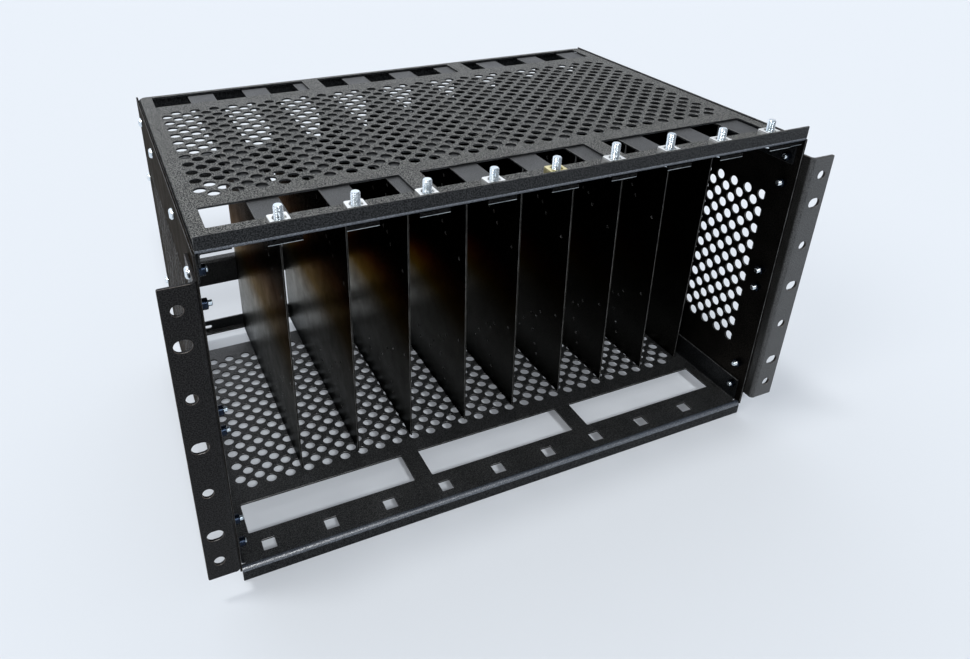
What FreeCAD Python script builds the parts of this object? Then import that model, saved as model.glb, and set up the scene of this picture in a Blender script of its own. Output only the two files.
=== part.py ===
import FreeCAD, Part
import math
import os
from FreeCAD import Vector

# Subrack card cage of folded steel sheet. All sizes are in millimetres.
# X runs across the front, Y runs from the front to the rear, Z is up.
# The origin is the centre of the bounding box in X and Y, at its lowest point.

# Whole cage
overall_height = 265.9
ear_to_ear_width = 482.6
ear_flange_width = 19.3
panel_depth = 294.0
ear_forward = 9.0

# Sheets and bends
panel_sheet = 1.5
side_sheet = 1.5
ear_sheet = 2.0
divider_sheet = 1.2
rail_sheet = 1.5
tab_sheet = 1.2
bend_inner_radius = 1.5
thin_bend_inner_radius = 0.8
bend_relief = 1.5

# Top and bottom panel: one tray used twice, the top one turned over
lip_height = 11.6
side_flange_height = 20.0
rear_flange_height = 11.5
window_count = 3
window_bar = 14.6
window_side_margin = 10.4
front_window_inset = 28.5
front_window_depth = 28.5
rear_window_inset = 6.5
rear_window_depth = 27.5

# Row of square holes for the cage nuts
square_hole = 9.5
square_pitch = 45.72
square_inset = 14.5
square_row_shift = 13.7

# Perforation, thinned to a part of the holes of the sheet, on their places
perforation_hole = 8.0
perforation_step = 30.0
panel_perforation_side_inset = 23.5
panel_perforation_front_inset = 90.0
panel_perforation_rear_inset = 75.0
side_perforation_front_inset = 57.5
side_perforation_rear_inset = 50.0
side_perforation_end_inset = 53.85

# Rack ears
ear_end_inset = 22.225
ear_leg_depth = 35.0
rack_hole_edge_distance = 8.75
rack_slot_end_distance = 37.695
rack_slot_length = 10.5
rack_slot_height = 8.0
ear_round_hole = 7.0
ear_inner_round_offset = 36.5
ear_outer_round_end_distance = 14.725

# Dividers, measured from the centre of the cage nut that holds each of them
divider_plate_inset = 75.0
divider_tongue_inset = 2.0
divider_flange_left = 10.0
divider_flange_right = 13.0
divider_tongue_right = 10.0
divider_foot_gap = 0.3
divider_rear_gap = 0.3

divider_wall_clearance = 0.5

# Sideways lean of the foot of the plates, from left to right, and of the last one at the wall
divider_leans = (1.5, 2.5, 3.0, 6.5, 7.0, 8.0, 7.0, 6.0)
last_divider_lean = 0.6

# Rear rails
rail_height = 27.0
rail_depth = 9.0
rail_centre_offset = 52.5

# Corner tab at the left end of the front, under the top panel
tab_width = 18.5
tab_depth = 24.0
tab_leg = 9.0

# Small screws and the press-in nuts inside the sheets
screw_thread = 4.0
screw_clearance = 0.4
screw_head = 7.6
screw_head_height = 2.4
ear_screw_reach = 10.0
flange_screw_reach = 7.5
press_nut_diameter = 7.0
press_nut_length = 6.0
ear_screw_inset = 10.5
ear_screw_inner_offset = 8.0
ear_screw_end_distance = 25.725
flange_screw_lift = 14.5
flange_screw_front_inset = 89.0
flange_screw_middle_inset = 93.0
flange_screw_rear_inset = 18.0
rail_screw_inset = 4.0

# Cage nuts and the screws in them
cage_width = 13.5
cage_depth = 11.5
cage_wall = 0.7
cage_wall_height = 4.4
cage_leg_width = 6.0
cage_leg_depth = 1.2
cage_leg_gap = 0.15
cage_nut_side = 9.6
cage_nut_height = 5.0
cage_opening = 6.6
stud_thread = 6.0
stud_clearance = 0.6
stud_rise = 13.5
long_stud_rise = 16.0
first_long_stud = 6
last_long_stud = 7
stud_head_across_flats = 10.0
stud_head_height = 4.0
fit_gap = 0.1

# Places that follow from the sizes
side_face = ear_to_ear_width / 2 - ear_flange_width - ear_sheet
half_width = side_face - side_sheet
ear_face = side_face + ear_sheet
y_front = ear_forward - (panel_depth + ear_forward) / 2
y_rear = y_front + panel_depth
z_mid = overall_height / 2
z_floor = lip_height
z_under = z_floor - panel_sheet
z_roof = overall_height - z_floor
z_top = z_roof + panel_sheet
panel_bend = bend_inner_radius + panel_sheet
flat_half_width = half_width - panel_bend
y_square = y_front + square_inset
y_rail = y_rear - rail_depth
small_hole = screw_thread + screw_clearance
ear_half_height = z_mid - ear_end_inset
window_width = (2 * (half_width - window_side_margin) - (window_count - 1) * window_bar) / window_count
last_plate_reach = divider_flange_right + last_divider_lean + divider_wall_clearance
last_nut_limit = half_width - panel_sheet - press_nut_length - last_plate_reach
square_count = 1 + int(2 * (last_nut_limit - square_row_shift) / square_pitch)


def face_of(points, place):
    """Flat face inside an outline of points and arcs, set into space by a function of two sizes."""
    edges = []
    start = place(*points[0])
    here = start
    for point in points[1:]:
        there = place(*point[-2:])
        if len(point) == 4:
            edges.append(Part.Arc(here, place(*point[:2]), there).toShape())
        else:
            edges.append(Part.LineSegment(here, there).toShape())
        here = there
    edges.append(Part.LineSegment(here, start).toShape())
    return Part.Face(Part.Wire(edges))


def bend(centre, radius, start_deg, end_deg):
    """Arc about a centre as one entry of an outline: its middle and its end."""
    middle = math.radians((start_deg + end_deg) / 2)
    end = math.radians(end_deg)
    middle_point = (centre[0] + radius * math.cos(middle), centre[1] + radius * math.sin(middle))
    end_point = (centre[0] + radius * math.cos(end), centre[1] + radius * math.sin(end))
    return middle_point + end_point


def along_x(points, x0, x1):
    """Solid of an outline in (Y, Z) between two places on X."""
    face = face_of(points, lambda y, z: Vector(x0, y, z))
    return face.extrude(Vector(x1 - x0, 0, 0))


def along_y(points, y0, y1):
    """Solid of an outline in (X, Z) between two places on Y."""
    face = face_of(points, lambda x, z: Vector(x, y0, z))
    return face.extrude(Vector(0, y1 - y0, 0))


def along_z(points, z0, z1):
    """Solid of an outline in (X, Y) between two places on Z."""
    face = face_of(points, lambda x, y: Vector(x, y, z0))
    return face.extrude(Vector(0, 0, z1 - z0))


def box(x0, x1, y0, y1, z0, z1):
    """Box between two corners."""
    return Part.makeBox(x1 - x0, y1 - y0, z1 - z0, Vector(x0, y0, z0))


def polygon(diameter, sides):
    """Corners of a regular polygon on a circle about the origin."""
    corners = []
    for n in range(sides):
        angle = 2 * math.pi * n / sides
        corners.append((diameter / 2 * math.cos(angle), diameter / 2 * math.sin(angle)))
    return corners


def upright_prism(x, y, z0, z1, diameter, sides):
    """Regular prism along Z."""
    corners = [(x + a, y + b) for a, b in polygon(diameter, sides)]
    return along_z(corners, z0, z1)


def cross_prism(x0, x1, y, z, diameter, sides):
    """Regular prism along X."""
    corners = [(y + a, z + b) for a, b in polygon(diameter, sides)]
    return along_x(corners, x0, x1)


def turned_over(shape):
    """The same piece after half a turn about the middle line of the cage."""
    copy = shape.copy()
    copy.rotate(Vector(0, 0, z_mid), Vector(0, 1, 0), 180)
    return copy


def mirrored(shape):
    """The piece for the other side of the cage."""
    return shape.mirror(Vector(0, 0, 0), Vector(1, 0, 0))


def square_places(shift):
    """X of each square hole of a row that is shifted sideways."""
    first = shift - square_pitch * (square_count - 1) / 2
    return [first + square_pitch * n for n in range(square_count)]


nut_places = square_places(square_row_shift)


def thinned_grid(first_a, last_a, first_b, last_b):
    """Every second place of a grid between two corners, like the squares of one colour."""
    columns = 1 + int((last_a - first_a) / perforation_step + 0.01)
    rows = 1 + int((last_b - first_b) / perforation_step + 0.01)
    places = []
    for column in range(columns):
        for row in range(column % 2, rows, 2):
            places.append((first_a + column * perforation_step, first_b + row * perforation_step))
    return places


def tray_front(x0, x1, y_end):
    """Front lip folded down, its bend, and the floor up to a station."""
    centre = (y_front + panel_bend, z_floor - panel_bend)
    outline = [
        (y_front, 0.0),
        (y_front, z_floor - panel_bend),
        bend(centre, panel_bend, 180, 90),
        (y_end, z_floor),
        (y_end, z_under),
        (y_front + panel_bend, z_under),
        bend(centre, bend_inner_radius, 90, 180),
        (y_front + panel_sheet, 0.0),
    ]
    return along_x(outline, x0, x1)


def upturned(edge, height, sign):
    """Outline of a flange folded up at an edge, the sign pointing outward."""
    centre = (edge - sign * panel_bend, z_under + panel_bend)
    side = 0 if sign > 0 else 180
    down = -90 if sign > 0 else 270
    return [
        (centre[0], z_under),
        bend(centre, panel_bend, down, side),
        (edge, z_floor + height),
        (edge - sign * panel_sheet, z_floor + height),
        (edge - sign * panel_sheet, centre[1]),
        bend(centre, bend_inner_radius, side, down),
    ]


def window_spans():
    """X spans of the three windows of a row."""
    step = window_width + window_bar
    first = window_side_margin - half_width
    return [(first + n * step, first + n * step + window_width) for n in range(window_count)]


def floor_cut(x0, x1, y0, y1):
    """Cutter through the floor of a tray."""
    return box(x0, x1, y0, y1, z_under - 1, z_floor + 1)


def window_cutters():
    """The front and the rear row of windows."""
    cutters = []
    y0 = y_front + front_window_inset
    y1 = y_rear - rear_window_inset
    for x0, x1 in window_spans():
        cutters.append(floor_cut(x0, x1, y0, y0 + front_window_depth))
        cutters.append(floor_cut(x0, x1, y1 - rear_window_depth, y1))
    return cutters


def square_cutters():
    """Square holes near the front edge."""
    half = square_hole / 2
    y0 = y_square - half
    y1 = y_square + half
    return [floor_cut(x - half, x + half, y0, y1) for x in square_places(-square_row_shift)]


def panel_perforation_cutters():
    """Thinned perforation of a tray."""
    x_last = half_width - panel_perforation_side_inset
    y_first = y_front + panel_perforation_front_inset
    y_last = y_rear - panel_perforation_rear_inset
    cutters = []
    for x, y in thinned_grid(-x_last, x_last, y_first, y_last):
        cutters.append(upright_prism(x, y, z_under - 1, z_floor + 1, perforation_hole, 6))
    return cutters


def ear_end_screws():
    """(Y, Z) of the two ear screws that also hold the side flanges of the trays."""
    lift = z_floor + flange_screw_lift
    y = y_front + ear_screw_inset
    return [(y, lift), (y, 2 * z_mid - lift)]


def ear_middle_screws():
    """(Y, Z) of the ear screws that hold only the side panel."""
    y = y_front + ear_screw_inset
    offsets = (ear_screw_inner_offset, ear_half_height - ear_screw_end_distance)
    return [(y, z_mid + sign * offset) for offset in offsets for sign in (-1, 1)]


def flange_screws():
    """(Y, Z) of the side panel's screws into the side flanges, behind the ear."""
    lift = z_floor + flange_screw_lift
    front = y_front + flange_screw_front_inset
    places = []
    for y in (front, y_rear - flange_screw_middle_inset, y_rear - flange_screw_rear_inset):
        places.append((y, lift))
        places.append((y, 2 * z_mid - lift))
    return places


def rail_screws():
    """(Y, Z) of the side panel's screws into the ends of the rear rails."""
    y = y_rear - rail_screw_inset
    return [(y, z_mid - rail_centre_offset), (y, z_mid + rail_centre_offset)]


def screw_cutters(places):
    """Clearance holes for small screws through all sheets at the right side."""
    x0 = half_width - panel_sheet - 1
    return [cross_prism(x0, ear_face + 1, y, z, small_hole, 6) for y, z in places]


def bottom_panel():
    """Floor tray: front lip folded down, the other three edges folded up."""
    relief_start = y_front + panel_bend + bend_relief
    flange_start = relief_start + bend_relief
    flat_end = y_rear - panel_bend
    shape = tray_front(-flat_half_width, flat_half_width, flat_end)
    front = tray_front(-half_width, half_width, relief_start)
    rear_half = flat_half_width - bend_relief
    rear = along_x(upturned(y_rear, rear_flange_height, 1), -rear_half, rear_half)
    right = along_y(upturned(half_width, side_flange_height, 1), flange_start, flat_end - bend_relief)
    shape = shape.fuse([front, rear, right, mirrored(right)]).removeSplitter()
    cutters = window_cutters() + square_cutters() + panel_perforation_cutters()
    for hole in screw_cutters(ear_end_screws()[:1] + flange_screws()[::2]):
        cutters.append(hole)
        cutters.append(mirrored(hole))
    return shape.cut(cutters)


def side_panel_right():
    """Flat perforated sheet outside the side flanges of both trays."""
    shape = box(half_width, side_face, y_front, y_rear, z_under, z_top)
    places = ear_end_screws() + ear_middle_screws() + flange_screws() + rail_screws()
    cutters = screw_cutters(places)
    y_first = y_front + side_perforation_front_inset
    y_last = y_rear - side_perforation_rear_inset
    z_first = z_floor + side_perforation_end_inset
    z_last = z_roof - side_perforation_end_inset
    for y, z in thinned_grid(y_first, y_last, z_first, z_last):
        cutters.append(cross_prism(half_width - 1, side_face + 1, y, z, perforation_hole, 6))
    return shape.cut(cutters)


def rack_slot(x, z):
    """Cutter along Y for one slot with round ends."""
    y0 = y_front - ear_forward - 1
    depth = ear_sheet + 2
    radius = rack_slot_height / 2
    reach = (rack_slot_length - rack_slot_height) / 2
    middle = box(x - reach, x + reach, y0, y0 + depth, z - radius, z + radius)
    left = Part.makeCylinder(radius, depth, Vector(x - reach, y0, z), Vector(0, 1, 0))
    right = Part.makeCylinder(radius, depth, Vector(x + reach, y0, z), Vector(0, 1, 0))
    return middle.fuse([left, right]).removeSplitter()


def rack_ear_right():
    """Angle outside the side panel, its front flange turned outward with the rack slots."""
    y0 = y_front - ear_forward
    outer = bend_inner_radius + ear_sheet
    centre = (side_face + outer, y0 + outer)
    outline = [
        (side_face, y0 + ear_leg_depth),
        (side_face, y0 + outer),
        bend(centre, outer, 180, 270),
        (ear_to_ear_width / 2, y0),
        (ear_to_ear_width / 2, y0 + ear_sheet),
        (centre[0], y0 + ear_sheet),
        bend(centre, bend_inner_radius, 270, 180),
        (ear_face, y0 + ear_leg_depth),
    ]
    shape = along_z(outline, z_mid - ear_half_height, z_mid + ear_half_height)
    x = ear_to_ear_width / 2 - rack_hole_edge_distance
    cutters = screw_cutters(ear_end_screws() + ear_middle_screws())
    slot_offset = ear_half_height - rack_slot_end_distance
    for offset in (-slot_offset, 0, slot_offset):
        cutters.append(rack_slot(x, z_mid + offset))
    for offset in (ear_inner_round_offset, ear_half_height - ear_outer_round_end_distance):
        for sign in (-1, 1):
            start = Vector(x, y0 - 1, z_mid + sign * offset)
            hole = Part.makeCylinder(ear_round_hole / 2, ear_sheet + 2, start, Vector(0, 1, 0))
            cutters.append(hole)
    return shape.cut(cutters)


def divider(x, lean):
    """Plate with a flange under the top panel, hung on the cage nut at x, its foot leaning."""
    outer = thin_bend_inner_radius + divider_sheet
    right = x + divider_flange_right
    centre = (right - outer, z_roof - outer)
    foot = z_floor + divider_foot_gap
    outline = [
        (right + lean, foot),
        (right, z_roof - outer),
        bend(centre, outer, 0, 90),
        (x - divider_flange_left, z_roof),
        (x - divider_flange_left, z_roof - divider_sheet),
        (centre[0], z_roof - divider_sheet),
        bend(centre, thin_bend_inner_radius, 90, 0),
        (right + lean - divider_sheet, foot),
    ]
    y_plate = y_front + divider_plate_inset
    y_tongue = y_front + divider_tongue_inset
    z_flange = z_roof - divider_sheet
    shape = along_y(outline, y_plate, y_rail - divider_rear_gap)
    x0 = x - divider_flange_left
    tongue = box(x0, x + divider_tongue_right, y_tongue, y_plate, z_flange, z_roof)
    shape = shape.fuse(tongue).removeSplitter()
    hole = stud_thread + stud_clearance
    return shape.cut(upright_prism(x, y_square, z_flange - 1, z_roof + 1, hole, 8))


def rear_rail(z):
    """Channel across the rear, open to the rear, with end tabs against the side panels."""
    outer = bend_inner_radius + rail_sheet
    z0 = z - rail_height / 2
    z1 = z + rail_height / 2
    low = (y_rail + outer, z0 + outer)
    high = (y_rail + outer, z1 - outer)
    outline = [
        (y_rear, z0),
        (y_rear, z0 + rail_sheet),
        (low[0], z0 + rail_sheet),
        bend(low, bend_inner_radius, 270, 180),
        (y_rail + rail_sheet, high[1]),
        bend(high, bend_inner_radius, 180, 90),
        (y_rear, z1 - rail_sheet),
        (y_rear, z1),
        (high[0], z1),
        bend(high, outer, 90, 180),
        (y_rail, low[1]),
        bend(low, outer, 180, 270),
    ]
    half = half_width - outer
    shape = along_x(outline, -(half - bend_relief), half - bend_relief)
    corner = (half, y_rail + outer)
    fold = [
        (0.0, y_rail),
        (half, y_rail),
        bend(corner, outer, 270, 360),
        (half_width, y_rear),
        (half_width - rail_sheet, y_rear),
        (half_width - rail_sheet, corner[1]),
        bend(corner, bend_inner_radius, 360, 270),
        (0.0, y_rail + rail_sheet),
    ]
    end = along_z(fold, low[1], high[1])
    shape = shape.fuse([end, mirrored(end)]).removeSplitter()
    cutters = []
    for place in rail_screws():
        for hole in screw_cutters([place]):
            cutters.append(hole)
            cutters.append(mirrored(hole))
    return shape.cut(cutters)


def front_corner_tab():
    """Small angle in the left front corner, under the top panel and against its side flange."""
    outer = thin_bend_inner_radius + tab_sheet
    wall = -(half_width - panel_sheet)
    centre = (wall + outer, z_roof - outer)
    outline = [
        (wall, z_roof - tab_leg),
        (wall, z_roof - outer),
        bend(centre, outer, 180, 90),
        (wall + tab_width, z_roof),
        (wall + tab_width, z_roof - tab_sheet),
        (wall + outer, z_roof - tab_sheet),
        bend(centre, thin_bend_inner_radius, 90, 180),
        (wall + tab_sheet, z_roof - tab_leg),
    ]
    y0 = y_front + panel_bend
    return along_y(outline, y0, y0 + tab_depth)


def cage(x):
    """Spring cage round one nut: a base on the top panel, two walls and two legs in the hole."""
    z0 = z_top
    half_x = cage_width / 2
    half_y = cage_depth / 2
    base = box(x - half_x, x + half_x, y_square - half_y, y_square + half_y, z0, z0 + cage_wall)
    pieces = []
    inner = cage_nut_side / 2 + fit_gap
    leg_outer = square_hole / 2 - cage_leg_gap
    for sign in (-1, 1):
        near = x + sign * inner
        far = x + sign * (inner + cage_wall)
        z1 = z0 + cage_wall_height
        pieces.append(box(min(near, far), max(near, far), y_square - half_y, y_square + half_y, z0, z1))
        near = x + sign * (leg_outer - cage_leg_depth)
        far = x + sign * leg_outer
        y0 = y_square - cage_leg_width / 2
        y1 = y_square + cage_leg_width / 2
        pieces.append(box(min(near, far), max(near, far), y0, y1, z_roof + fit_gap, z0 + cage_wall))
    shape = base.fuse(pieces).removeSplitter()
    half = cage_opening / 2
    return shape.cut(box(x - half, x + half, y_square - half, y_square + half, z0 - 1, z0 + 1))


def cage_nut(x):
    """Square nut that sits in the cage."""
    z0 = z_top + cage_wall
    half = cage_nut_side / 2
    block = box(x - half, x + half, y_square - half, y_square + half, z0, z0 + cage_nut_height)
    bore = stud_thread + 2 * fit_gap
    return block.cut(upright_prism(x, y_square, z0 - 1, z0 + cage_nut_height + 1, bore, 8))


def cage_screw(x, rise):
    """Screw from below through the divider's flange and the cage nut."""
    z_head = z_roof - divider_sheet
    across_corners = stud_head_across_flats / math.cos(math.pi / 6)
    head = upright_prism(x, y_square, z_head - stud_head_height, z_head, across_corners, 6)
    shank = upright_prism(x, y_square, z_head - 1, z_top + rise, stud_thread, 8)
    return head.fuse(shank).removeSplitter()


def small_screw(y, z, x_head, reach):
    """Screw with a low head outside the right side, its tip a stated reach inside the cage."""
    head = cross_prism(x_head, x_head + screw_head_height, y, z, screw_head, 8)
    shank = cross_prism(half_width - reach, x_head + 1, y, z, screw_thread, 6)
    return head.fuse(shank).removeSplitter()


def press_nut(y, z, x_wall):
    """Press-in nut against the inner face of a sheet at the right side."""
    body = cross_prism(x_wall - press_nut_length, x_wall, y, z, press_nut_diameter, 6)
    return body.cut(cross_prism(x_wall - press_nut_length - 1, x_wall + 1, y, z, small_hole, 6))


def save(name, shape):
    """Write one node."""
    shape.exportStep("parts/" + name + ".step")


os.makedirs("parts", exist_ok=True)

floor_tray = bottom_panel()
save("bottom_panel", floor_tray)
save("top_panel", turned_over(floor_tray))

side = side_panel_right()
save("side_panel_right", side)
save("side_panel_left", mirrored(side))

ear = rack_ear_right()
save("rack_ear_right", ear)
save("rack_ear_left", mirrored(ear))

for number, x in enumerate(nut_places[:-1]):
    lean = divider_leans[number % len(divider_leans)]
    save("divider_" + str(number + 1), divider(x, lean))
save("divider_" + str(square_count), divider(nut_places[-1], last_divider_lean))

save("rear_rail_lower", rear_rail(z_mid - rail_centre_offset))
save("rear_rail_upper", rear_rail(z_mid + rail_centre_offset))

save("front_corner_tab", front_corner_tab())

middle = square_count // 2
plain_places = nut_places[:middle] + nut_places[middle + 1:]
save("cage_nut_cages", Part.makeCompound([cage(x) for x in plain_places]))
save("cage_nut_bodies", Part.makeCompound([cage_nut(x) for x in plain_places]))
save("middle_cage", cage(nut_places[middle]))
save("middle_cage_nut", cage_nut(nut_places[middle]))

screws = []
for number, x in enumerate(nut_places, start=1):
    rise = long_stud_rise if first_long_stud <= number <= last_long_stud else stud_rise
    screws.append(cage_screw(x, rise))
save("cage_nut_screws", Part.makeCompound(screws))

ear_places = ear_end_screws() + ear_middle_screws()
side_places = flange_screws() + rail_screws()
ear_set = [small_screw(y, z, ear_face, ear_screw_reach) for y, z in ear_places]
side_set = [small_screw(y, z, side_face, flange_screw_reach) for y, z in side_places]
nut_set = [press_nut(y, z, half_width - panel_sheet) for y, z in ear_end_screws() + flange_screws()]
nut_set += [press_nut(y, z, half_width) for y, z in ear_middle_screws()]
for name, pieces in (("ear_screws", ear_set), ("side_screws", side_set), ("press_nuts", nut_set)):
    group = Part.makeCompound(pieces)
    save(name + "_right", group)
    save(name + "_left", mirrored(group))
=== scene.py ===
import math

import bmesh
import bpy
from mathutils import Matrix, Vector, geometry


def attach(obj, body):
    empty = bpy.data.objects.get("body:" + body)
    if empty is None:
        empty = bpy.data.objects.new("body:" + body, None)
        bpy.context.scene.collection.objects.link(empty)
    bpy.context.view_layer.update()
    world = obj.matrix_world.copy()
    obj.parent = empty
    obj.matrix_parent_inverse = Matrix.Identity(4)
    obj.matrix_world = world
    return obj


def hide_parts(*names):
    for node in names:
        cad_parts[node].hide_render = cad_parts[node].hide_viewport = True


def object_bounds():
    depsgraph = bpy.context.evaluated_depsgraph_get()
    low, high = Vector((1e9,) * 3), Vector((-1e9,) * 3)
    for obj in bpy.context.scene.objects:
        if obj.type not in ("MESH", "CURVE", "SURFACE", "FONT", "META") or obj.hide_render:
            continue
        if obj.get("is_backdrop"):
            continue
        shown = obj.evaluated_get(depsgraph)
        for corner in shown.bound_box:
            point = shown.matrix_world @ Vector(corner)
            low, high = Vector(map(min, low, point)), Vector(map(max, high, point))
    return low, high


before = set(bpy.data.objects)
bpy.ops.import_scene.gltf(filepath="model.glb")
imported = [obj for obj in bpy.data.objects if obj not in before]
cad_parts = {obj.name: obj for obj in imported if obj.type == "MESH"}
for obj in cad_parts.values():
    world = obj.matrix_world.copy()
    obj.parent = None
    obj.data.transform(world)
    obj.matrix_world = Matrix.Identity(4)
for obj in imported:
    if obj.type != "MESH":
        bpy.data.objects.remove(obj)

cad_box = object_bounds()

# Shapes are worked out in millimetres: X to the right, Y to the rear, Z up from the lowest edge.
MM = 0.001

# Sheet of the trays and side panels.
SHEET = 1.5
BEND_OUT, BEND_IN = 3.0, 1.5
BEND_STEPS = 8
PANEL_X = 218.5
FLAT_X = PANEL_X - BEND_OUT
Y_FRONT, Y_REAR = -142.5, 151.5
DECK_FRONT, DECK_REAR = -138.0, 148.5
SIDE_FLANGE_Y = (-136.5, 147.0)
REAR_FLANGE_X = 214.0
Z_MID = 132.95
FLOOR_LOW, FLOOR_TOP = 10.1, 11.6
ROOF_TOP = 255.8
SIDE_FLANGE_TOP, REAR_FLANGE_TOP = 31.6, 23.1
RIM_BEVEL = 0.25

# Openings of the trays and side panels.
HOLE_R, HOLE_SIDES = 4.0, 20
HOLE_STEP, ROW_STEP = 15.0, 7.5
TRAY_ROWS, TRAY_FIRST_Y = 23, -67.5
SIDE_ROWS, SIDE_FIRST_Y = 31, -115.0
WINDOWS_X = ((-208.1, -79.1), (-64.5, 64.5), (79.1, 208.1))
WINDOWS_Y = ((-114, -85.5), (117.5, 145))
SQUARE_HALF = 4.75
PITCH = 45.72
PLACES = 9
NUT_X = [-169.18 + PITCH * k for k in range(PLACES)]
SQUARE_X = [-196.58 + PITCH * k for k in range(PLACES)]
SQUARE_Y = -128.0

# Rack ears.
EAR_SHEET = 2.0
EAR_LOW, EAR_HIGH = 22.225, 243.675
EAR_BEND_X, EAR_BEND_Y = 223.5, -148
EAR_BEND_OUT, EAR_BEND_IN = 3.5, 1.5
EAR_REAR = -116.5
EAR_TIP_X, EAR_CORNER_R = 241.3, 1.0
RACK_HOLE_X = 232.55
SLOT_HALF_X, SLOT_HALF_Z, SLOT_R = 5.25, 4, 3.98
SLOT_Z = (-73.03, 0, 73.03)
ROUND_R, ROUND_Z = 3.5, (-96, -36.5, 36.5, 96)

# Dividers. Each plate's foot stands to the right of its top by its lean.
DIVIDER_SHEET = 1.2
DIVIDER_BEVEL = 0.15
FLANGE_Z = 253.1
FLANGE_HALF, FLANGE_BEND = 10, 11
DIVIDER_BEND_OUT, DIVIDER_BEND_IN = 2.0, 0.8
DIVIDER_BEND_Z = FLANGE_Z - DIVIDER_BEND_IN
TONGUE_FRONT = -139.3
PLATE_FRONT, PLATE_REAR, PLATE_FOOT = -67.5, 142.2, 11.9
HEM_FRONT, RIM_Z = -140.5, 251.2
CORNER_TAB_X, CORNER_TAB_FRONT = (205.5, 218.3), -139.5
LEANS = (1.5, 2.5, 3.0, 6.5, 7.0, 8.0, 7.0, 6.0, 0.6)

# Guide holes, by their distance behind the front edge of the trays and from the plate's middle.
GUIDE_R = 1.25
GUIDE_MIDDLE_Z = 125.6
GUIDE_HOLES = [
    (86, 38.5), (110, 49), (116, 57), (124, 58.5), (121, 75),
    (137, 72.5), (116, 88), (144, 82.5), (113, 97.5),
]
LOWER_GUIDE_HOLES = [(166, 28), (170, 37)]
LAST_GUIDE_Y, LAST_GUIDE_R = 120.7, 1.3
LAST_GUIDE_Z = (10, 17.4, 24.6, 32, 38.5)

# Cage nuts. The middle one is yellow.
MIDDLE_NUT = 4
NUT_TILTS = (0.02, -0.03, 0.015, 0.03, -0.02, -0.02, 0.025, -0.015, 0.02)
CAGE_SHEET, CAGE_BEND, CAGE_TOP = 0.7, 1.2, 260.2
BLOCK_Z, BLOCK_HEIGHT = ROOF_TOP + CAGE_SHEET, 3.6
CAP_Z, CAP_HEIGHT = 260.3, 1.2
STUD_TIP, LONG_STUD_TIP = 269.3, 271.8
LONG_STUDS = (5, 6)

# Small screws, by their places along Y and Z on the side panels.
TRAY_SCREW_Z = (26.1, 239.8)
EAR_END_SCREWS = [(-132, z) for z in TRAY_SCREW_Z]
EAR_MIDDLE_SCREWS = [(-132, Z_MID + z) for z in (-8, 8, -85, 85)]
SIDE_SCREWS = [(y, z) for y in (-53.5, 58.5, 133.5) for z in TRAY_SCREW_Z]
RAIL_SCREWS = [(147.5, 80.45), (147.5, 185.45)]
EAR_HEAD_X, EAR_SCREW_TIP_X = 222, 212
SIDE_HEAD_X, SIDE_SCREW_TIP_X = 220, 211
PRESS_NUT_LENGTH = 4

# Places in a piece's list of materials. Third is the dividers' roof coat or the trays' bend coat, a
# painted highlight along the bend.
COAT, EDGE, ROOF_COAT, RIM, HEM = 0, 1, 2, 3, 4
BEND = 2


def circle(x, y, r, n):
    return [
        (x + r * math.cos(2 * math.pi * i / n), y + r * math.sin(2 * math.pi * i / n))
        for i in range(n)
    ]


def arc(cx, cy, r, start, end, steps):
    return [
        (
            cx + r * math.cos(math.radians(start + (end - start) * i / steps)),
            cy + r * math.sin(math.radians(start + (end - start) * i / steps)),
        )
        for i in range(steps + 1)
    ]


def rounded(x0, y0, x1, y1, r, steps=4):
    """A rectangle with rounded corners, counter-clockwise."""
    points = arc(x1 - r, y0 + r, r, -90, 0, steps)
    points += arc(x1 - r, y1 - r, r, 0, 90, steps)
    points += arc(x0 + r, y1 - r, r, 90, 180, steps)
    points += arc(x0 + r, y0 + r, r, 180, 270, steps)
    return points


def inset(outline, amounts):
    """The outline with edge i moved inwards by amounts[i]; a negative amount moves it out."""
    n = len(outline)
    result = []
    for i in range(n):
        p, q, r = Vector(outline[i - 1]), Vector(outline[i]), Vector(outline[(i + 1) % n])
        a, b = (q - p).normalized(), (r - q).normalized()
        na, nb = Vector((-a.y, a.x)), Vector((-b.y, b.x))
        da, db = amounts[i - 1], amounts[i]
        cross = a.x * b.y - a.y * b.x
        if abs(cross) < 1e-4:
            result.append(tuple(q + nb * max(da, db, key=abs)))
            continue
        pa, pb = q + na * da, q + nb * db
        t = ((pb.x - pa.x) * b.y - (pb.y - pa.y) * b.x) / cross
        result.append(tuple(pa + a * t))
    return result


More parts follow.
